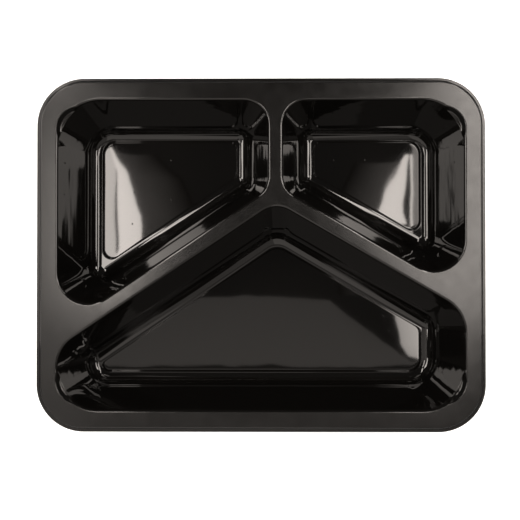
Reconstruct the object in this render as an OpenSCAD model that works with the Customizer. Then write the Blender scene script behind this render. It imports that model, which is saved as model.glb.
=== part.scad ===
// Three-compartment meal tray, thermoformed from one sheet.
// The tray stands on z = 0 with the middle of its outline over the origin. X runs along the
// length, Y towards the two small compartments, and millimetres are used throughout.

/* [Outline] */
// Length over the flange
tray_l = 227; // [180:1:290]
// Width over the flange
tray_w = 179; // [145:1:230]
// Height from the table to the sealing face
tray_h = 40; // [28:1:46]
// Corner radius of the outline
outline_r = 24; // [18:1:30]
// Thickness of the formed sheet
sheet = 0.8; // [0.5:0.1:1.2]

/* [Flange] */
// Width of the sealing face and lip along the left and right sides
side_flange_w = 9.4; // [7:0.1:12]
// Width of the sealing face and lip along the front and back
front_flange_w = 9.9; // [7:0.1:12]
// Width of the stepped lip along the outer edge
lip_w = 2.2; // [1.5:0.1:3]
// Depth of the lip below the sealing face
lip_drop = 1.2; // [0.8:0.1:2]
// Run of the sloped step between the sealing face and the lip
lip_run = 0.7; // [0.3:0.1:1]

/* [Dividers] */
// Width of the flat top of each divider
divider_w = 4.9; // [4:0.1:9]
// Distance of the point where the dividers meet, to the right of the middle
hub_x = 7.5; // [-20:0.5:20]
// Distance of that point from the back edge of the small compartments
hub_back = 48.6; // [44:0.2:60]
// Distance of the left divider's outer end from the front edge of the large compartment
left_end = 35.9; // [34:0.1:50]
// Distance of the right divider's outer end from the front edge of the large compartment
right_end = 54.8; // [40:0.1:60]

/* [Walls] */
// Draft of the compartment walls from the vertical, in degrees
draft = 17; // [12:0.5:20]
// How much further the slanted walls reach in at their foot than the others, as a ratio
slant_reach = 1.05; // [1:0.01:1.1]
// Radius over which the sealing face rolls into a wall
roll_r = 1.5; // [1.1:0.1:3]
// Radius at the foot of a wall
foot_r = 6; // [3:0.5:8]
// Width of the flat ring that the tray stands on
ring_w = 0.5; // [0.3:0.05:2]
// Width of that ring along the left and right sides
side_ring_w = 1.25; // [0.3:0.05:2.5]
// Height of the floor pad above the ring
pad_rise = 0.5; // [0.3:0.1:1.5]
// Run of the sloped edge of the floor pad
pad_run = 0.5; // [0.3:0.1:2]

/* [Compartment corners] */
// Radius at the rim of a corner that lies in a corner of the tray
outer_rim_r = 22.5; // [20:0.5:26]
// Radius at the foot of a corner that lies in a corner of the tray
outer_foot_r = 8; // [4:0.5:12]
// Radius at the rim of a corner against a divider
inner_rim_r = 13.8; // [10:0.2:18]
// Radius at the rim of the narrow corners
narrow_rim_r = 17; // [14:0.5:20]
// Radius at the rim of the corners where a side and a divider meet in the large compartment
wide_rim_r = 20; // [16:0.5:26]
// Radius at the rim of the large compartment's point
point_rim_r = 13; // [10:0.5:18]
// Radius at the foot of the large compartment's point
point_foot_r = 9; // [4:0.5:12]
// Radius at the foot of every other corner
sharp_foot_r = 1.2; // [1:0.1:3]
// Radius of a floor pad's corners
pad_r = 4.5; // [3:0.5:7]

/* [Stacking pockets] */
// Radius of a pocket's round wall at the sealing face
pocket_r = 12; // [9:0.5:14]
// Slope of a pocket's round wall from the vertical, in degrees
pocket_draft = 40; // [20:1:45]
// Depth of a pocket's ledge below the sealing face
pocket_depth = 2.4; // [1.6:0.1:4]
// Distance that a pocket reaches past the corner of its compartment
pocket_reach = 1.5; // [0.8:0.1:2]
// Turn of a pocket from the tray's length, in degrees
pocket_turn = 32; // [30:1:60]

/* [Hidden] */

// Steps in each round corner of a compartment, and in each round of the wall section
corner_steps = 7;
roll_steps = 4;
foot_steps = 6;
outline_fn = 96;
pocket_fn = 48;
pad_fn = 32;
// The largest share of a wall that the corners at its ends take up
corner_share = 0.99;

half_l = tray_l / 2;
half_w = tray_w / 2;
side = half_l - side_flange_w;
front = half_w - front_flange_w;
half_div = divider_w / 2;
hub = [hub_x, front - hub_back];
left_slope = atan((hub.y + front - left_end) / (side + hub.x));
right_slope = atan((hub.y + front - right_end) / (side - hub.x));

// A wall is [normal, offset, reach, ring]: the normal points into the compartment, its edge at
// the rim holds every point p with normal * p = offset, reach is the ratio of its way in to the
// wall section's, and ring is the width of the standing ring along its foot.
left_wall = [[1, 0], -side, 1, side_ring_w];
right_wall = [[-1, 0], -side, 1, side_ring_w];
back_wall = [[0, -1], -front, 1, ring_w];
front_wall = [[0, 1], -front, 1, ring_w];
left_up = [-sin(left_slope), cos(left_slope)];
right_up = [sin(right_slope), cos(right_slope)];
divider_wall = function (normal)
    [normal, normal * hub + half_div, normal.y == 0 ? 1 : slant_reach, ring_w];

// Each compartment's walls, counter-clockwise from above. A corner is named after the wall
// that follows it and holds its radius at the rim, at the foot and on the pad.
left_room = [
    [left_wall, outer_rim_r, outer_foot_r, pad_r + 2],
    [divider_wall(left_up), narrow_rim_r, sharp_foot_r, pad_r],
    [divider_wall([-1, 0]), inner_rim_r, sharp_foot_r, pad_r],
    [back_wall, inner_rim_r, sharp_foot_r, pad_r]
];
right_room = [
    [divider_wall([1, 0]), inner_rim_r, sharp_foot_r, pad_r],
    [divider_wall(right_up), inner_rim_r, sharp_foot_r, pad_r],
    [right_wall, narrow_rim_r, sharp_foot_r, pad_r],
    [back_wall, outer_rim_r, outer_foot_r, pad_r + 2]
];
large_room = [
    [left_wall, wide_rim_r, sharp_foot_r, pad_r],
    [front_wall, outer_rim_r, outer_foot_r, pad_r + 2],
    [right_wall, outer_rim_r, outer_foot_r, pad_r + 2],
    [divider_wall(-right_up), wide_rim_r, sharp_foot_r, pad_r],
    [divider_wall(-left_up), point_rim_r, point_foot_r, pad_r + 4]
];
rooms = [left_room, right_room, large_room];

// The wall section: the roll's centre lies at inset 0 and height roll_z, the foot's centre at
// inset foot_in and height foot_z, and a straight wall of length wall_l joins the two rounds.
wall_tilt = 90 - draft;
roll_z = tray_h - roll_r;
foot_z = sheet + foot_r;
wall_l = (roll_z - foot_z + (roll_r + foot_r) * cos(wall_tilt)) / sin(wall_tilt);
foot_in = (roll_r + foot_r) * sin(wall_tilt) + wall_l * cos(wall_tilt);

// The sloped steps of the lip and the pads lie further in on the underside, so that the sheet
// keeps its thickness there.
lip_shift = sheet * tan(atan(lip_drop / lip_run) / 2);
pad_shift = sheet * tan(atan(pad_rise / pad_run) / 2);

// One level of the wall section as [inset, height, widening of the corners]. The food side has
// grow 0, and grow = sheet gives the underside, which is the same section one sheet further out.
roll_level = function (tilt, grow)
    [(roll_r - grow) * sin(tilt), roll_z + (roll_r - grow) * cos(tilt), grow * sin(tilt)];
foot_level = function (tilt, grow)
    [foot_in - (foot_r + grow) * sin(tilt), foot_z - (foot_r + grow) * cos(tilt),
        grow * sin(tilt)];
wall_levels = function (grow) concat(
    [for (i = [0:roll_steps]) roll_level(wall_tilt * i / roll_steps, grow)],
    [for (i = [0:foot_steps]) foot_level(wall_tilt * (1 - i / foot_steps), grow)]
);

// A room is read as a ring, so that the corner after the last one is the first again
function corner_at(room, i) = room[(i + len(room)) % len(room)];
function wall_before(room, i) = corner_at(room, i - 1)[0];
function wall_after(room, i) = corner_at(room, i)[0];

// Where the two walls of corner i cross at one inset of the wall section, once both are moved
// inwards by the distance past as well
function crossing(room, i, inset, past) =
    let (
        before = wall_before(room, i),
        after = wall_after(room, i),
        p = before[0],
        q = after[0],
        m = before[1] + inset * before[2] + past,
        n = after[1] + inset * after[2] + past,
        det = p.x * q.y - p.y * q.x
    )
    [(m * q.y - n * p.y) / det, (n * p.x - m * q.x) / det];

// How far the outline turns at corner i, and how much wall a round corner of radius 1 takes up
function turn_at(room, i) = acos(wall_before(room, i)[0] * wall_after(room, i)[0]);
function reach_at(room, i) = tan(turn_at(room, i) / 2);

// The share of its radius that corner i can have while the corners at both ends of a wall fit
function fit_share(room, i, inset, radii) =
    let (
        length = norm(crossing(room, i + 1, inset, 0) - crossing(room, i, inset, 0)),
        count = len(room),
        taken = radii[i % count] * reach_at(room, i)
            + radii[(i + 1) % count] * reach_at(room, i + 1)
    )
    min(1, corner_share * length / taken);

// The radii of a room's corners at one inset, each limited by the walls beside it
function fitted(room, inset, radii) =
    let (count = len(room))
    [for (i = [0:count - 1])
        radii[i] * min(
            fit_share(room, i, inset, radii),
            fit_share(room, i + count - 1, inset, radii)
        )];

// A room's outline at one level of its wall: the corners sharpen evenly from rim to foot
function room_outline(room, level) =
    let (
        food_in = level[0] + level[2],
        share = min(1, food_in / foot_in),
        radii = fitted(room, food_in, [for (c = room) c[1] + (c[2] - c[1]) * share])
    )
    [for (i = [0:len(room) - 1])
        let (
            centre = crossing(room, i, food_in, radii[i]),
            out = -wall_before(room, i)[0],
            start = atan2(out.y, out.x)
        )
        for (k = [0:corner_steps])
            let (angle = start + turn_at(room, i) * k / corner_steps)
            centre + (radii[i] + level[2]) * [cos(angle), sin(angle)]];

// A closed skin over outlines that each lie at one height and have equally many points
module loft(outlines, heights) {
    count = len(outlines[0]);
    last = len(outlines) - 1;
    points = [for (k = [0:last]) for (p = outlines[k]) [p.x, p.y, heights[k]]];
    sides = [for (k = [0:last - 1]) for (i = [0:count - 1])
        let (j = (i + 1) % count, upper = k * count, lower = upper + count)
        each [[upper + i, upper + j, lower + j], [upper + i, lower + j, lower + i]]];
    top = [for (i = [count - 1:-1:0]) i];
    floor = [for (i = [0:count - 1]) last * count + i];
    polyhedron(points, concat(sides, [top, floor]), convexity = 4);
}

// The solid that fills one room from top_z down to its floor, on the food side or the underside
module room_fill(room, grow, top_z) {
    levels = wall_levels(grow);
    outlines = [for (level = levels) room_outline(room, level)];
    heights = [for (level = levels) level[1]];
    loft(concat([outlines[0]], outlines), concat([top_z], heights));
}

// A room's walls moved in to the edge of its floor pad
function pad_walls(room) =
    [for (c = room)
        let (wall = c[0], edge = wall[1] + foot_in * wall[2] + wall[3])
        [[wall[0], edge, 1, 0], c[1], c[2], c[3]]];

// The raised pad of one room's floor. Its sloped edge crosses height z at the distance shift
// inside the pad's own edge.
module pad(room, shift, z) {
    walls = pad_walls(room);
    radii = fitted(walls, shift, [for (c = room) c[3]]);
    hull() for (i = [0:len(room) - 1]) {
        centre = crossing(walls, i, shift, radii[i]);
        translate([centre.x, centre.y, z])
            cylinder(
                r1 = radii[i] + pad_run,
                r2 = radii[i] - pad_run,
                h = 2 * pad_rise,
                center = true,
                $fn = pad_fn
            );
    }
}

// A plate with the outline of the tray, whose edge lies at one inset below and at another above
module plate(low_in, high_in, low_z, high_z) {
    x = half_l - outline_r;
    y = half_w - outline_r;
    hull() for (sx = [-1, 1], sy = [-1, 1])
        translate([sx * x, sy * y, low_z])
            cylinder(
                r1 = outline_r - low_in,
                r2 = outline_r - high_in,
                h = high_z - low_z,
                $fn = outline_fn
            );
}

// The four pockets whose ledges keep stacked trays apart, each an upturned cone in a corner
module pockets(grow, top_z) {
    out = outer_rim_r + pocket_reach - pocket_r;
    low_z = tray_h - pocket_depth - grow;
    rim_r = pocket_r + grow / cos(pocket_draft);
    for (sx = [-1, 1], sy = [-1, 1])
        translate([
            sx * (side - outer_rim_r + out * cos(pocket_turn)),
            sy * (front - outer_rim_r + out * sin(pocket_turn)),
            low_z
        ])
            cylinder(
                r1 = rim_r + (low_z - tray_h) * tan(pocket_draft),
                r2 = rim_r + (top_z - tray_h) * tan(pocket_draft),
                h = top_z - low_z,
                $fn = pocket_fn
            );
}

// Everything that lies above the underside of the sheet
module underside_form() {
    middle_z = tray_h - sheet / 2;
    difference() {
        union() {
            plate(0, 0, tray_h - lip_drop - sheet, tray_h - lip_drop);
            plate(lip_w - lip_run, lip_w, tray_h - lip_drop, tray_h);
        }
        plate(lip_w - lip_run + lip_shift, lip_w + lip_shift, tray_h - lip_drop - sheet, tray_h - sheet);
    }
    for (room = rooms) room_fill(room, sheet, middle_z);
    pockets(sheet, middle_z);
}

module tray() {
    color([0.06, 0.06, 0.06])
        difference() {
            underside_form();
            difference() {
                union() {
                    for (room = rooms) room_fill(room, 0, tray_h + 1);
                    pockets(0, tray_h + 1);
                }
                for (room = rooms) pad(room, 0, sheet);
            }
            for (room = rooms) pad(room, pad_shift, 0);
        }
}

tray();
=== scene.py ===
import math

import bpy
import numpy as np
from mathutils import Matrix, Vector
from mathutils.geometry import delaunay_2d_cdt


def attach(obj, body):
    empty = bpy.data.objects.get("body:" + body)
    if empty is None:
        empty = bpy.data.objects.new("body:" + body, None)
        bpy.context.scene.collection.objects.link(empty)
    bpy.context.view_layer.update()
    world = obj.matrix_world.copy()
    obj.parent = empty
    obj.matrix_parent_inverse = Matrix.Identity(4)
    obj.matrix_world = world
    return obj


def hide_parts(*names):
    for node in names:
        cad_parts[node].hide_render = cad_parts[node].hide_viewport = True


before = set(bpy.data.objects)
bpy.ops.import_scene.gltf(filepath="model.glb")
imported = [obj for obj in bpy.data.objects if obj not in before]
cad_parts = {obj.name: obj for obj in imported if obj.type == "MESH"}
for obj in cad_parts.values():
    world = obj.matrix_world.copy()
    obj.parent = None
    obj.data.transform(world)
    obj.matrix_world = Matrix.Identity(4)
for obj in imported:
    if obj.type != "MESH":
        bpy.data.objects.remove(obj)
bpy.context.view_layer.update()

scene = bpy.context.scene
scene.view_settings.view_transform = "Standard"
mm = 0.001

# Sizes in millimetres, the same ones as in the solid
trayShape = {
    "length": 227.0,
    "width": 179.0,
    "height": 40.0,
    "outlineRadius": 24.0,
    "sheet": 0.8,
    "sideFlange": 9.4,
    "frontFlange": 9.9,
    "lip": 2.2,
    "lipDrop": 1.2,
    "lipRun": 0.7,
    "divider": 4.9,
    "hubRight": 7.5,
    "hubBack": 48.6,
    "leftEnd": 35.9,
    "rightEnd": 54.8,
    "draft": 17.0,
    "slantReach": 1.05,
    "roll": 1.5,
    "foot": 6.0,
    "ring": 0.5,
    "sideRing": 1.25,
    "padRise": 0.5,
    "padRun": 0.5,
    "cornerShare": 0.99,
}

# Corner radii at the rim, at the foot and on the floor pad
cornerRadii = {
    "outer": (22.5, 8.0, 6.5),
    "inner": (13.8, 1.2, 4.5),
    "narrow": (17.0, 1.2, 4.5),
    "wide": (20.0, 1.2, 4.5),
    "point": (13.0, 9.0, 8.5),
}

# The stacking ledges in the four corners
pocketShape = {
    "radius": 12.0,
    "draft": 40.0,
    "depth": 2.4,
    "reach": 1.5,
    "turn": 32.0,
    "roll": 0.8,
    "foot": 0.35,
    "leastCosine": 0.4,
}

# The step up to a floor pad: how far it starts before the end of the ring along the dividers, how
# far past the foot at the sides, and how much of the foot's round it replaces at front and back
padStep = {"early": 0.1, "past": 0.05, "footCut": 0.9}

# The lip's section: the flat strip inside it and the rounds of its corners, from the top round
lipSection = {"flat": 0.7, "rounds": [0.35, 0.3, 0.38, 0.38, 0.25, 0.3]}

# How finely the sheet is drawn: points on each round, points on a straight side before its corner
# in millimetres from it and the most of the side they take, and rings round a stacking ledge
meshSteps = {"corner": 33, "roll": 9, "foot": 14, "pad": 12, "edge": 6}
nearCorner = {"gaps": [7.0, 4.5, 2.5, 1.2, 0.4], "share": 0.45}
ledgeSteps = [0.35, 0.2, 0.08, 0.0, -0.015, -0.06, -0.4, -1.5]


def smoothStep(t):
    # 3t^2 - 2t^3: level at both ends
    return t * t * (3 - 2 * t)


# The walls of a room are inward normals and offsets: a wall's edge at the rim holds the points p
# with normal . p = offset. The dividers run from the hub to their ends at the two sides.
side = trayShape["length"] / 2 - trayShape["sideFlange"]
front = trayShape["width"] / 2 - trayShape["frontFlange"]
hub = np.array([trayShape["hubRight"], front - trayShape["hubBack"]])
leftTurn = math.atan((hub[1] + front - trayShape["leftEnd"]) / (side + hub[0]))
rightTurn = math.atan((hub[1] + front - trayShape["rightEnd"]) / (side - hub[0]))
leftUp = np.array([-np.sin(leftTurn), np.cos(leftTurn)])
rightUp = np.array([np.sin(rightTurn), np.cos(rightTurn)])


def makeWalls(rows):
    # Each row is (normal, offset or None for a divider, corner name); returns whole arrays. Reach
    # is the ratio of a wall's way in to the section's. The step up to the floor pad starts stepIn
    # past the end of the foot and is stepWide wide, and stop is how much of the foot it cuts off.
    normals = np.array([row[0] for row in rows], float)
    isDivider = np.array([row[1] is None for row in rows])
    dividers = normals @ hub + trayShape["divider"] / 2
    upright = normals[:, 1] == 0
    kinds = [isDivider, upright]
    ring, sideRing, run = trayShape["ring"], trayShape["sideRing"], trayShape["padRun"]
    early, past, footCut = padStep["early"], padStep["past"], padStep["footCut"]
    return {
        "normals": normals,
        "offsets": np.where(isDivider, dividers, [row[1] or 0.0 for row in rows]),
        "reach": np.where(isDivider & ~upright, trayShape["slantReach"], 1.0),
        "stepIn": np.select(kinds, [ring - early, past], -footCut),
        "stepWide": np.select(kinds, [run + 2 * early, sideRing + run], ring + run + footCut),
        "stop": np.select(kinds, [0.0, 0.0], footCut),
        "radii": np.array([cornerRadii[row[2]] for row in rows]),
        "pockets": [],
    }


leftRoom = makeWalls([
    ((1, 0), -side, "outer"),
    (leftUp, None, "narrow"),
    ((-1, 0), None, "inner"),
    ((0, -1), -front, "inner"),
])
rightRoom = makeWalls([
    ((1, 0), None, "inner"),
    (rightUp, None, "inner"),
    ((-1, 0), -side, "narrow"),
    ((0, -1), -front, "outer"),
])
largeRoom = makeWalls([
    ((1, 0), -side, "wide"),
    ((0, 1), -front, "outer"),
    ((-1, 0), -side, "outer"),
    (-rightUp, None, "wide"),
    (-leftUp, None, "point"),
])
leftRoom["pockets"] = [(-1, 1)]
rightRoom["pockets"] = [(1, 1)]
largeRoom["pockets"] = [(-1, -1), (1, -1)]
rooms = [leftRoom, rightRoom, largeRoom]


def crossing(walls, inset, past):
    # Where each wall meets the one before it, once both are moved inwards by inset * reach + past,
    # but not beyond their limit. The two straight lines are solved by Cramer's rule, for all
    # corners and levels at once.
    p, q = np.roll(walls["normals"], 1, axis=0), walls["normals"]
    moved = walls["offsets"] + np.minimum(inset, walls["limit"]) * walls["reach"]
    m = np.roll(moved, 1, axis=-1) + past
    n = moved + past
    det = p[:, 0] * q[:, 1] - p[:, 1] * q[:, 0]
    return np.stack([(m * q[:, 1] - n * p[:, 1]) / det, (n * p[:, 0] - m * q[:, 0]) / det], axis=-1)


def wallRings(walls, inset, radii, widen):
    # Closed rings of straight sides and round corners. inset and widen hold a value per level,
    # radii one per level and corner. A corner is centre + (radius + widen) * direction, and its
    # radius shrinks where the two corners of a wall would take up more than the wall.
    before = np.roll(walls["normals"], 1, axis=0)
    after = walls["normals"]
    turn = np.arccos(np.clip((before * after).sum(axis=1), -1, 1))
    reach = np.tan(turn / 2)
    inset = np.asarray(inset, float)[:, None]
    corners = crossing(walls, inset, 0)
    length = np.linalg.norm(np.roll(corners, -1, axis=1) - corners, axis=-1)
    taken = radii * reach + np.roll(radii * reach, -1, axis=1)
    share = np.minimum(1, trayShape["cornerShare"] * length / taken)
    radii = radii * np.minimum(share, np.roll(share, 1, axis=1))
    straight = length - radii * reach - np.roll(radii * reach, -1, axis=1)
    centre = crossing(walls, inset, radii)
    start = np.arctan2(-before[:, 1], -before[:, 0])
    angle = start[:, None] + turn[:, None] * np.linspace(0, 1, meshSteps["corner"])
    direction = np.stack([np.cos(angle), np.sin(angle)], axis=-1)
    size = (radii + np.asarray(widen, float)[:, None])[..., None, None]
    arc = centre[:, :, None] + size * direction
    # Points on the straight sides close to a corner keep its shading off the flat wall
    furthest = nearCorner["gaps"][0]
    gaps = np.array(nearCorner["gaps"]) / furthest
    near = np.minimum(furthest, nearCorner["share"] * straight)[..., None] * gaps
    alongBefore = np.stack([before[:, 1], -before[:, 0]], axis=-1)[:, None]
    alongAfter = np.stack([after[:, 1], -after[:, 0]], axis=-1)[:, None]
    lead = arc[:, :, :1] - np.roll(near, 1, axis=1)[..., None] * alongBefore
    trail = arc[:, :, -1:] + near[..., ::-1][..., None] * alongAfter
    rings = np.concatenate([lead, arc, trail], axis=2)
    return rings.reshape(len(inset), -1, 2)


def pushPockets(rings, walls, radius, cap):
    # Moves ring points outwards along rays from a corner's centre to the cone of its pocket, at
    # most cap further than they were. A ray at the angle d from the pocket's own direction meets
    # the cone at out * cos d + sqrt(radius^2 - (out * sin d)^2). Rays too far aside stay.
    rimRadius = cornerRadii["outer"][0]
    out = rimRadius + pocketShape["reach"] - pocketShape["radius"]
    turn = math.radians(pocketShape["turn"])
    for signX, signY in walls["pockets"]:
        centre = np.array([signX * (side - rimRadius), signY * (front - rimRadius)])
        toPocket = np.array([signX * math.cos(turn), signY * math.sin(turn)])
        ray = rings - centre
        far = np.linalg.norm(ray, axis=-1)
        cosine = (ray @ toPocket) / far
        under = np.maximum(radius[:, None] ** 2 - out ** 2 * (1 - cosine ** 2), 0)
        hit = np.where(
            (cosine > pocketShape["leastCosine"]) & (under > 0),
            out * cosine + np.sqrt(under), 0,
        )
        pushed = np.maximum(far, np.minimum(hit, far + cap[:, None]))
        rings = centre + ray * (pushed / far)[..., None]
    return rings


def pocketRadius(z, grow):
    # The cone's radius at each height: its slope, a round edge at the top, where the section of
    # the round is edge * (1 - cos b) deep and edge * sin b wide, and a small round above the ledge
    slope = math.radians(pocketShape["draft"])
    top = trayShape["height"] - grow
    rimRadius = pocketShape["radius"] + grow * (1 / math.cos(slope) - math.tan(slope))
    edge = max(pocketShape["roll"] - grow, 0.05)
    deep = np.maximum(top - z, 0)
    roundDeep = edge * (1 - math.sin(slope))
    b = np.arccos(np.clip(1 - deep / edge, 0, 1))
    roundRadius = rimRadius + edge * math.tan((math.pi / 2 - slope) / 2) - edge * np.sin(b)
    radius = np.where(deep < roundDeep, roundRadius, rimRadius - deep * math.tan(slope))
    foot = pocketShape["foot"]
    low = np.maximum(foot - (z - top + pocketShape["depth"]), 0) / foot
    return radius - foot * low ** 2


def roomSection(grow):
    # The wall section from the rim to the floor: a quarter round, a straight drafted wall and a
    # round foot. grow moves it outwards by that much along its own normals, which turns the
    # food side into the underside. Returns inset, height, widening, pocket radius and pocket cap.
    tilt = math.radians(90 - trayShape["draft"])
    roll, foot = trayShape["roll"], trayShape["foot"]
    rollZ, footZ = trayShape["height"] - roll, trayShape["sheet"] + foot
    drop = (rollZ - footZ + (roll + foot) * math.cos(tilt)) / math.sin(tilt)
    footIn = (roll + foot) * math.sin(tilt) + drop * math.cos(tilt)
    ledge = trayShape["height"] - pocketShape["depth"] - grow
    a = np.linspace(0, tilt, meshSteps["roll"])
    rollPart = [(roll - grow) * np.sin(a), rollZ + (roll - grow) * np.cos(a), grow * np.sin(a)]
    b = np.linspace(tilt, 0, meshSteps["foot"])
    footPart = [footIn - (foot + grow) * np.sin(b), footZ - (foot + grow) * np.cos(b), grow * np.sin(b)]
    topZ, lowZ = rollPart[1][-1], footPart[1][0]
    above = np.linspace(topZ - 0.2, ledge + 0.55, 3)
    z = np.array([
        *above, *(ledge + np.array(ledgeSteps)),
        *np.linspace(ledge - 5, lowZ + 4, 5), lowZ + 1.2, lowZ + 0.3,
    ])
    wallPart = [
        rollPart[0][-1] + (topZ - z) / math.tan(tilt), z, np.full(len(z), grow * math.sin(tilt)),
    ]
    inset, height, widen = np.concatenate([rollPart, wallPart, footPart], axis=1)
    radius = pocketRadius(np.maximum(height, ledge), grow)
    # A short push right below the ledge rounds its edge, and further down there is none
    atLedge = len(a) + len(above) + ledgeSteps.index(0)
    cap = np.full(len(inset), np.inf)
    cap[atLedge + 1] = 0.4
    cap[atLedge + 2:] = 0
    return inset, height, widen, radius, cap, footIn


def atHeights(rings, height):
    # Gives every point of each ring the ring's height
    z = np.broadcast_to(height[:, None, None], rings.shape[:2] + (1,))
    return np.concatenate([rings, z], axis=2)


def roomSurface(walls, grow):
    # Rings of one room from the flange to its floor pad, as (rings, points, 3). Each corner's
    # radius changes evenly with the inset, from the rim's to the foot's.
    inset, height, widen, radius, cap, footIn = roomSection(grow)
    walls = dict(walls, limit=np.where(walls["stop"] > 0, footIn - walls["stop"], np.inf))
    share = np.minimum(1, (inset + widen) / footIn)[:, None]
    rim, foot, pad = walls["radii"].T
    rings = wallRings(walls, inset + widen, rim + (foot - rim) * share, widen)
    rings = pushPockets(rings, walls, radius, cap)
    # The floor pad: an S-shaped step leads to it, its corners are concentric, and one more ring on
    # the pad itself keeps the step's shading off the flat floor
    rise, run = trayShape["padRise"], trayShape["padRun"]
    shift = grow * math.tan(math.atan(rise / run) / 2)
    t = np.concatenate([np.linspace(0, 1, meshSteps["pad"]), [1.5]])
    padZ = trayShape["sheet"] - grow + rise * smoothStep(np.minimum(t, 1))
    start = walls["offsets"] + footIn * walls["reach"] + shift + walls["stepIn"]
    padWalls = dict(walls, offsets=start, reach=walls["stepWide"])
    padRings = wallRings(padWalls, t, pad + (1 - t[:, None]) * run, 0 * t)
    return np.concatenate([atHeights(rings, height), atHeights(padRings, padZ)])


def roundedPath(points, radius, steps):
    # A polyline whose inner corners are replaced by parabolic rounds: each is
    # (1-t)^2 a + 2t(1-t) b + t^2 c between the points at the distance radius before and after b
    a, b, c = points[:-2], points[1:-1], points[2:]
    radius = np.asarray(radius)[:, None]
    inward = b + (a - b) / np.linalg.norm(a - b, axis=1)[:, None] * radius
    onward = b + (c - b) / np.linalg.norm(c - b, axis=1)[:, None] * radius
    t = np.linspace(0, 1, steps)[None, :, None]
    rounds = (1 - t) ** 2 * inward[:, None] + 2 * t * (1 - t) * b[:, None] + t ** 2 * onward[:, None]
    return np.concatenate([points[:1], rounds.reshape(-1, 2), points[-1:]])


def lipSurface():
    # The stepped lip and the outer edge, from the top of the flange round to its underside
    h, s = trayShape["height"], trayShape["sheet"]
    lip, drop, run = trayShape["lip"], trayShape["lipDrop"], trayShape["lipRun"]
    shift = s * math.tan(math.atan(drop / run) / 2)
    flat = lipSection["flat"]
    path = np.array([
        (lip + flat, h), (lip, h), (lip - run, h - drop), (0, h - drop), (0, h - drop - s),
        (lip - run + shift, h - drop - s), (lip + shift, h - s), (lip + shift + flat, h - s),
    ])
    path = roundedPath(path, lipSection["rounds"], meshSteps["edge"])
    outline = {
        "normals": np.array([(1, 0), (0, 1), (-1, 0), (0, -1)], float),
        "offsets": np.array([-trayShape["length"], -trayShape["width"]] * 2) / 2,
        "reach": np.ones(4),
        "limit": np.full(4, np.inf),
    }
    radii = np.repeat(trayShape["outlineRadius"] - path[:, :1], 4, axis=1)
    rings = wallRings(outline, path[:, 0], radii, 0 * path[:, 0])
    return atHeights(rings, path[:, 1])


def stripFaces(start, rings, count, flip):
    # Quads between neighbouring rings of count points; flip turns them over
    ring = np.arange(rings - 1)[:, None] * count + start
    here = np.arange(count)
    there = np.roll(here, -1)
    quads = np.stack([ring + here, ring + there, ring + there + count, ring + here + count], axis=-1)
    quads = quads.reshape(-1, 4)
    return quads[:, ::-1] if flip else quads


def insideLoop(points, loop):
    # Counts the crossings of a ray towards +X with the loop: an odd number means inside
    a, b = loop, np.roll(loop, -1, axis=0)
    x, y = points[:, :1], points[:, 1:2]
    spans = (a[:, 1] > y) != (b[:, 1] > y)
    slope = (b[:, 0] - a[:, 0]) / np.where(a[:, 1] == b[:, 1], 1, b[:, 1] - a[:, 1])
    return (spans & (x < a[:, 0] + (y - a[:, 1]) * slope)).sum(axis=1) % 2 == 1


def flangeFaces(points, loops, flip):
    # Triangles between the outline's loop, which comes first, and the rooms' loops
    index = np.concatenate(loops)
    flat = points[index, :2]
    sizes = [len(loop) for loop in loops]
    starts = np.cumsum([0] + sizes[:-1])
    edges = np.concatenate([
        start + np.stack([np.arange(size), np.roll(np.arange(size), -1)], axis=1)
        for start, size in zip(starts, sizes)
    ])
    found = delaunay_2d_cdt([Vector(p) for p in flat.tolist()], edges.tolist(), [], 1, 1e-7)
    place = index[np.array([origin[0] for origin in found[3]])]
    triangles = place[np.array(found[2])]
    middle = points[triangles].mean(axis=1)
    keep = insideLoop(middle, points[loops[0]])
    for loop in loops[1:]:
        keep &= ~insideLoop(middle, points[loop])
    triangles = triangles[keep]
    a, b, c = np.moveaxis(points[triangles][..., :2], 1, 0)
    turned = (b[:, 0] - a[:, 0]) * (c[:, 1] - a[:, 1]) - (b[:, 1] - a[:, 1]) * (c[:, 0] - a[:, 0]) < 0
    triangles[turned] = triangles[turned][:, ::-1]
    return triangles[:, ::-1] if flip else triangles


def areaNormals(points, faceGroups):
    # Each point's normal is the sum of its faces' normals weighted by their areas, so that the
    # large flat faces stay flat beside the small rounds
    total = np.zeros_like(points)
    for faces in faceGroups:
        corner = points[faces]
        if faces.shape[1] == 4:
            normal = np.cross(corner[:, 2] - corner[:, 0], corner[:, 3] - corner[:, 1]) / 2
        else:
            fan = np.cross(corner[:, 1:-1] - corner[:, :1], corner[:, 2:] - corner[:, :1])
            normal = fan.sum(axis=1) / 2
        np.add.at(total, faces, normal[:, None])
    return total / np.linalg.norm(total, axis=1)[:, None]


def makePiece(name, points, faceGroups, material, matte=None):
    # Puts the arrays into a mesh object at the origin, in metres, with the given normals
    mesh = bpy.data.meshes.new(name)
    faces = [face for group in faceGroups for face in group.tolist()]
    mesh.from_pydata((points * mm).tolist(), [], faces)
    mesh.polygons.foreach_set("use_smooth", np.ones(len(mesh.polygons), bool))
    mesh.normals_split_custom_set_from_vertices(areaNormals(points, faceGroups).tolist())
    if matte is not None:
        mesh.attributes.new("matte", "FLOAT", "POINT").data.foreach_set("value", matte)
    mesh.validate()
    mesh.update()
    piece = bpy.data.objects.new(name, mesh)
    scene.collection.objects.link(piece)
    mesh.materials.append(material)
    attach(piece, "root")
    return piece


# How far below the sealing face its matte finish ends, and how level a matte part of the lip is
matteDepth = 0.05
levelSlack = 0.01


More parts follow.
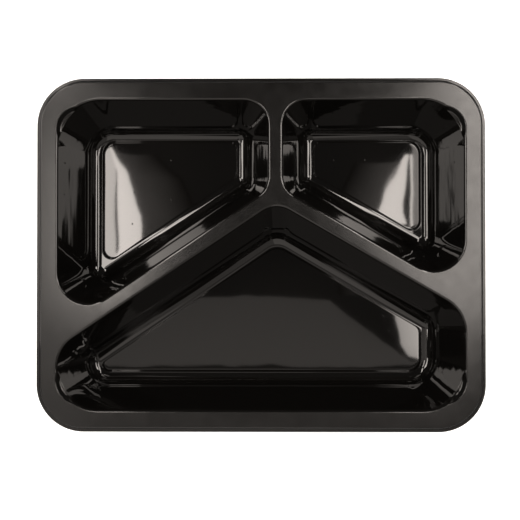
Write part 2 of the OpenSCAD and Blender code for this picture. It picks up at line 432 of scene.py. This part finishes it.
def makeTray(material):
    # The matte share is 1 on the sealing face and on the lip's flat parts, to within levelSlack of
    # their heights. It falls off evenly over matteDepth below the sealing face, and is 0 elsewhere.
    blocks, groups, rims, undersides, matte = [], [], [], [], []
    start = 0
    for walls in rooms:
        for grow, firstLoops in ((0.0, rims), (trayShape["sheet"], undersides)):
            surface = roomSurface(walls, grow)
            count = surface.shape[1]
            groups.append(stripFaces(start, len(surface), count, grow > 0))
            floor = start + (len(surface) - 1) * count + np.arange(count)
            groups.append((floor[::-1] if grow > 0 else floor)[None])
            firstLoops.append(start + np.arange(count))
            blocks.append(surface.reshape(-1, 3))
            below = trayShape["height"] - grow - surface[..., 2]
            matte.append(np.clip(1 - below / matteDepth, 0, 1).ravel())
            start += len(blocks[-1])
    lip = lipSurface()
    count = lip.shape[1]
    groups.append(stripFaces(start, len(lip), count, True))
    rims.insert(0, start + np.arange(count))
    undersides.insert(0, start + (len(lip) - 1) * count + np.arange(count))
    blocks.append(lip.reshape(-1, 3))
    below = trayShape["height"] - blocks[-1][:, 2]
    offLevel = np.minimum(below, abs(below - trayShape["lipDrop"]))
    matte.append((offLevel < levelSlack).astype(float))
    points = np.concatenate(blocks)
    groups.append(flangeFaces(points, rims, False))
    groups.append(flangeFaces(points, undersides, True))
    tray = makePiece("formedTray", points, groups, material, np.concatenate(matte))
    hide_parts("tray")
    corner = [points[group] for group in groups]
    volume = sum(np.einsum("fi,fki->", c[:, 0], np.cross(c[:, 1:-1], c[:, 2:])) for c in corner) / 6
    print("tray: %d points, %d faces, %.0f mm3" % (len(points), len(tray.data.polygons), volume))
    return tray


def colour(hexValue):
    # sRGB hex to linear: v / 12.92 up to 0.04045, and ((v + 0.055) / 1.055)^2.4 above it
    value = np.array([int(hexValue[i:i + 2], 16) for i in (1, 3, 5)]) / 255
    linear = np.where(value <= 0.04045, value / 12.92, ((value + 0.055) / 1.055) ** 2.4)
    return (*linear.tolist(), 1.0)


def addNode(tree, kind, values=None, links=None):
    # One node: values set its properties or unlinked sockets, links join its sockets to outputs
    node = tree.nodes.new(kind)
    for key, value in (values or {}).items():
        if isinstance(key, int) or key in node.inputs:
            node.inputs[key].default_value = value
        else:
            setattr(node, key, value)
    for key, output in (links or {}).items():
        tree.links.new(output, node.inputs[key])
    return node


def newMaterial(name):
    # A material with an empty node tree
    material = bpy.data.materials.new(name)
    material.use_nodes = True
    material.node_tree.nodes.clear()
    return material, material.node_tree


# Black polypropylene sheet, vacuum formed on a polished mould: a hard, wet-looking gloss whose
# reflections wander a little, because the hot sheet never lies quite flat, with level ripples on
# the walls, where it was drawn down. The sealing face and the lip are pressed on a sand-blasted
# frame, which leaves a soft grey sheen with faint streaks. The grain is drawn coarser than blasting
# leaves it, so that it shows.
formedPolypropylene = {
    "colour": "#0a0908",
    "ior": 1.49,
    "glossRoughness": 0.035,
    "matteRoughness": 0.21,
    "streakRoughness": 0.02,
    "streakSize": 6.0,
    "waveSize": 26.0,
    "waveHeight": 0.06,
    "waveSqueeze": 3.5,
    "grainSize": 0.9,
    "grainHeight": 0.004,
}


def makePolypropylene():
    look = formedPolypropylene
    material, tree = newMaterial("formedPolypropylene")
    place = addNode(tree, "ShaderNodeTexCoord").outputs["Object"]
    matte = addNode(tree, "ShaderNodeAttribute", {"attribute_name": "matte"}).outputs["Fac"]
    squeezed = addNode(
        tree, "ShaderNodeVectorMath",
        {"operation": "MULTIPLY", 1: (1, 1, look["waveSqueeze"])},
        {0: place},
    )
    wave = addNode(
        tree, "ShaderNodeTexNoise",
        {"Scale": 1 / (look["waveSize"] * mm), "Detail": 1.0},
        {"Vector": squeezed.outputs[0]},
    )
    grain = addNode(
        tree, "ShaderNodeTexNoise",
        {"Scale": 1 / (look["grainSize"] * mm), "Detail": 2.0},
        {"Vector": place},
    )
    streak = addNode(
        tree, "ShaderNodeTexNoise",
        {"Scale": 1 / (look["streakSize"] * mm), "Detail": 4.0},
        {"Vector": place},
    )
    waved = addNode(
        tree, "ShaderNodeBump",
        {"Distance": look["waveHeight"] * mm},
        {"Height": wave.outputs["Fac"]},
    )
    rubbed = addNode(
        tree, "ShaderNodeMath",
        {"operation": "MULTIPLY"},
        {0: grain.outputs["Fac"], 1: matte},
    )
    grained = addNode(
        tree, "ShaderNodeBump",
        {"Distance": look["grainHeight"] * mm},
        {"Height": rubbed.outputs[0], "Normal": waved.outputs["Normal"]},
    )
    streaked = addNode(
        tree, "ShaderNodeMapRange",
        {
            "From Min": 0.35, "From Max": 0.65,
            "To Min": look["matteRoughness"] - look["streakRoughness"],
            "To Max": look["matteRoughness"] + look["streakRoughness"],
        },
        {"Value": streak.outputs["Fac"]},
    )
    roughness = addNode(
        tree, "ShaderNodeMapRange",
        {"To Min": look["glossRoughness"]},
        {"Value": matte, "To Max": streaked.outputs[0]},
    )
    shader = addNode(
        tree, "ShaderNodeBsdfPrincipled",
        {"Base Color": colour(look["colour"]), "IOR": look["ior"]},
        {"Roughness": roughness.outputs[0], "Normal": grained.outputs["Normal"]},
    )
    addNode(tree, "ShaderNodeOutputMaterial", {}, {"Surface": shader.outputs["BSDF"]})
    return material


# The small pips that the mould's air holes leave on the floors, and their places in millimetres
ventPips = {
    "radius": 0.45,
    "height": 0.25,
    "sink": 0.05,
    "steps": (5, 12),
    "places": [
        (-69, 52), (-69, 34.5), (-49, 52), (-49, 30.5), (-70, 17.5),
        (39, 52), (56, 52), (73, 52), (53, 34.5),
        (54.5, -10), (66, -32.5), (69, -40.5),
    ],
}


def makePips(material):
    # Each pip is a dome of rings: radius * cos a wide and height * sin a above the floor pad,
    # closed by a flat disc just below the pad's surface
    ringCount, aroundCount = ventPips["steps"]
    places = np.array(ventPips["places"], float)
    a = np.linspace(0, math.pi / 2, ringCount + 1)[:-1]
    b = np.linspace(0, 2 * math.pi, aroundCount, endpoint=False)
    wide = np.concatenate([[ventPips["radius"]], ventPips["radius"] * np.cos(a)])
    high = np.concatenate([[-ventPips["sink"]], ventPips["height"] * np.sin(a)])
    top = trayShape["sheet"] + trayShape["padRise"]
    x = places[:, 0, None, None] + wide[:, None] * np.cos(b)
    y = places[:, 1, None, None] + wide[:, None] * np.sin(b)
    z = np.broadcast_to(top + high[:, None], x.shape)
    points = np.stack([x, y, z], axis=-1).reshape(-1, 3)
    groups = []
    for start in np.arange(len(places)) * len(wide) * aroundCount:
        groups.append(stripFaces(start, len(wide), aroundCount, False))
        groups.append((start + np.arange(aroundCount)[::-1])[None])
        groups.append((start + (len(wide) - 1) * aroundCount + np.arange(aroundCount))[None])
    pips = makePiece("ventPips", points, groups, material)
    print("vent pips: %d" % len(places))
    return pips


print("material")
polypropylene = makePolypropylene()
print("tray")
tray = makeTray(polypropylene)
pips = makePips(polypropylene)

# The photograph's camera, straight above and a little in front of the middle
cameraPlace = {"stand": (6.0, -11.0, 570.0), "aim": (-0.3, -2.7, 40.0), "lens": 72.74}


def makeCamera():
    # Looks from its stand to the aim: right is +Y cross the way back, and up is the way back cross
    # right
    camera = bpy.data.objects.new("camera", bpy.data.cameras.new("camera"))
    scene.collection.objects.link(camera)
    stand, aim = Vector(cameraPlace["stand"]) * mm, Vector(cameraPlace["aim"]) * mm
    away = (stand - aim).normalized()
    right = Vector((0, 1, 0)).cross(away).normalized()
    turn = Matrix((right, away.cross(right), away)).transposed()
    camera.matrix_world = Matrix.Translation(stand) @ turn.to_4x4()
    camera.data.lens = cameraPlace["lens"]
    camera.data.sensor_width = 36
    camera.data.clip_start = 0.01
    scene.camera = camera


# Lights in millimetres, just above the camera's height. Each is a strip between two edges with as
# many points, with its brightness at both edges, and 1 is white. A tall softbox stands at each
# side, with a dark gap where its tubes part, and leans away towards the back. The far lights are
# seen in the walls only, and pale cards hang over the near edge.
lightHeight = 575.0
farEdge = 700
lightStrips = {
    "leftSoftbox": {
        "from": [(-138, -40), (-138, 12), (-138, 18), (-138, 56), (-147, 85), (-155, 105), (-172, 133)],
        "to": [(-164, -40), (-164, 12), (-162, 18), (-162, 56), (-163, 85), (-164, 105), (-173, 133)],
        "glow": (15.0, 17.0),
    },
    "leftTube": {
        "from": [(-164, -40), (-164, 12), (-165, 16), (-165, 111), (-173, 134)],
        "to": [(-190, -40), (-190, 12), (-190, 16), (-190, 111), (-200, 134)],
        "glow": (12.0, 12.0),
    },
    "leftTop": {
        "from": [(-190, 190), (-248, 305), (-262, 330), (-330, 440), (-355, 540)],
        "to": [(-236, 190), (-318, 266), (-335, 330), (-400, 440), (-430, 540)],
        "glow": (9.0, 16.0),
    },
    "leftGlow": {
        "from": [(-190, -200), (-190, 16), (-200, 134)],
        "to": [(-300, -200), (-300, 16), (-300, 134)],
        "glow": (2.6, 1.0),
    },
    "leftHaze": {
        "from": [(-138, -40), (-138, 56), (-150, 95), (-167, 123)],
        "to": [(-80, -30), (-75, 56), (-90, 95), (-120, 123)],
        "glow": (0.9, 0.0),
    },
    "rightSoftbox": {
        "from": [(121, 45), (121, 60), (127, 72), (130, 87), (138, 105), (150, 121)],
        "to": [(151, 45), (147, 59), (147, 72), (149, 87), (151, 105), (154, 121)],
        "glow": (15.0, 15.0),
    },
    "rightSoftboxLow": {
        "from": [(165, -102), (154, -98), (146, -85), (142, -62), (131, 2), (121, 45)],
        "to": [(178, -104), (178, -98), (178, -85), (178, -62), (165, 2), (153, 41)],
        "glow": (7.0, 11.0),
    },
    "rightLine": {
        "from": [(155, 41), (155, 121)],
        "to": [(158, 41), (158, 121)],
        "glow": (15.0, 15.0),
    },
    "rightTube": {
        "from": [(158, 41), (158, 150)],
        "to": [(178, 41), (178, 150)],
        "glow": (4.0, 3.5),
    },
    "rightHaze": {
        "from": [(137, -30), (121, 45), (121, 60), (145, 113)],
        "to": [(80, -30), (70, 45), (70, 60), (95, 113)],
        "glow": (0.9, 0.0),
    },
    "rightGlow": {
        "from": [(178, -50), (178, 150)],
        "to": [(275, -50), (275, 150)],
        "glow": (10.0, 7.0),
    },
    "rightTop": {
        "from": [(178, 150), (185, 200), (233, 305), (240, 330), (330, 540)],
        "to": [(275, 150), (272, 200), (278, 295), (285, 330), (400, 540)],
        "glow": (14.0, 12.0),
    },
    "farLeft": {
        "from": [(-446, 60), (-446, 128), (-400, 132), (-372, 180), (-430, 330)],
        "to": [(-466, 60), (-469, 128), (-471, 160), (-471, 180), (-471, 330)],
        "glow": (11.0, 13.0),
    },
    "farLeftOuter": {
        "from": [(-514, -90), (-500, 0), (-476, 80), (-472, 160), (-471, 330)],
        "to": [(-farEdge, -90), (-farEdge, 0), (-farEdge, 80), (-farEdge, 160), (-farEdge, 330)],
        "glow": (12.0, 12.0),
    },
    "farRight": {
        "from": [(548, -80), (512, 40), (488, 95), (486, 130), (402, 136), (366, 196), (440, 330)],
        "to": [(farEdge, y) for y in (-80, 40, 95, 130, 136, 196, 330)],
        "glow": (11.0, 13.0),
    },
    "lowLeft": {
        "from": [(-395, -75), (-415, -175)],
        "to": [(-408, -75), (-440, -175)],
        "glow": (5.0, 5.0),
    },
    "lowRight": {
        "from": [(405, -80), (425, -170)],
        "to": [(425, -80), (450, -170)],
        "glow": (9.0, 9.0),
    },
    "nearCard": {
        "from": [(-400, -34), (0, -33), (68, -37), (106, -67), (157, -104), (500, -106)],
        "to": [(-400, -108), (0, -108), (68, -108), (106, -108), (157, -108), (500, -108)],
        "glow": (0.7, 0.85),
    },
    "nearGap": {
        "from": [(-600, -115), (600, -115)],
        "to": [(-600, -190), (600, -190)],
        "glow": (0.3, 0.3),
    },
    "nearRoom": {
        "from": [(-900, -200), (40, -200)],
        "to": [(-900, -1500), (400, -1500)],
        "glow": (1.2, 1.0),
    },
    "nearRight": {
        "from": [(40, -200), (900, -200)],
        "to": [(400, -1500), (900, -1500)],
        "glow": (0.6, 0.5),
    },
}

# Cloth-faced softbox: an even glow, a touch warmer than the table's white
softboxCloth = "#fff6ee"


def makeLights():
    # Each strip is a row of quads between its two edges, and its glow runs evenly from one edge's
    # level to the other's
    material, tree = newMaterial("softboxGlow")
    glow = addNode(tree, "ShaderNodeAttribute", {"attribute_name": "glow"})
    shader = addNode(
        tree, "ShaderNodeEmission",
        {"Color": colour(softboxCloth)},
        {"Strength": glow.outputs["Fac"]},
    )
    addNode(tree, "ShaderNodeOutputMaterial", {}, {"Surface": shader.outputs["Emission"]})
    for name, strip in lightStrips.items():
        count = len(strip["from"])
        points = np.array(strip["from"] + strip["to"], float)
        points = np.column_stack([points, np.full(len(points), lightHeight)])
        here = np.arange(count - 1)
        faces = np.stack([here, here + 1, here + 1 + count, here + count], axis=1)
        mesh = bpy.data.meshes.new(name)
        mesh.from_pydata((points * mm).tolist(), [], faces.tolist())
        levels = mesh.attributes.new("glow", "FLOAT", "POINT")
        levels.data.foreach_set("value", np.repeat(strip["glow"], count))
        mesh.materials.append(material)
        light = bpy.data.objects.new(name, mesh)
        scene.collection.objects.link(light)
        light.visible_camera = False
        light.visible_shadow = False


# White paper: it fades into a plain white page round the tray and keeps the tray's soft shadow.
# What the camera and mirror rays see of it is lifted to white, with no more light on the tray.
whitePaper = {"colour": "#f4f4f4", "shown": 0.7, "halfSide": 4000.0, "drop": 0.2}


def makeFloor():
    material, tree = newMaterial("whiteTable")
    path = addNode(tree, "ShaderNodeLightPath")
    seen = addNode(
        tree, "ShaderNodeMath",
        {"operation": "MAXIMUM"},
        {0: path.outputs["Is Camera Ray"], 1: path.outputs["Is Glossy Ray"]},
    )
    seen = addNode(
        tree, "ShaderNodeMath",
        {"operation": "MAXIMUM"},
        {0: seen.outputs[0], 1: path.outputs["Is Transmission Ray"]},
    )
    level = addNode(
        tree, "ShaderNodeMath",
        {"operation": "MULTIPLY", 1: whitePaper["shown"]},
        {0: seen.outputs[0]},
    )
    paper = addNode(tree, "ShaderNodeBsdfDiffuse", {"Color": colour(whitePaper["colour"])})
    glow = addNode(tree, "ShaderNodeEmission", {}, {"Strength": level.outputs[0]})
    both = addNode(tree, "ShaderNodeAddShader", {}, {0: paper.outputs[0], 1: glow.outputs[0]})
    addNode(tree, "ShaderNodeOutputMaterial", {}, {"Surface": both.outputs[0]})
    mesh = bpy.data.meshes.new("table")
    corners = np.array([(-1, -1), (1, -1), (1, 1), (-1, 1)]) * whitePaper["halfSide"]
    points = np.column_stack([corners, np.full(4, -whitePaper["drop"])])
    mesh.from_pydata((points * mm).tolist(), [], [(0, 1, 2, 3)])
    mesh.materials.append(material)
    table = bpy.data.objects.new("table", mesh)
    scene.collection.objects.link(table)


# The room beyond the lights: a dim neutral grey that only the darkest reflections show
dimRoom = {"colour": "#8c8a88", "strength": 0.25}


def makeWorld():
    world = bpy.data.worlds.new("studio")
    world.use_nodes = True
    world.node_tree.nodes.clear()
    room = addNode(
        world.node_tree, "ShaderNodeBackground",
        {"Color": colour(dimRoom["colour"]), "Strength": dimRoom["strength"]},
    )
    addNode(world.node_tree, "ShaderNodeOutputWorld", {}, {"Surface": room.outputs[0]})
    scene.world = world


print("camera and light")
makeCamera()
makeLights()
makeFloor()
makeWorld()

print("done")
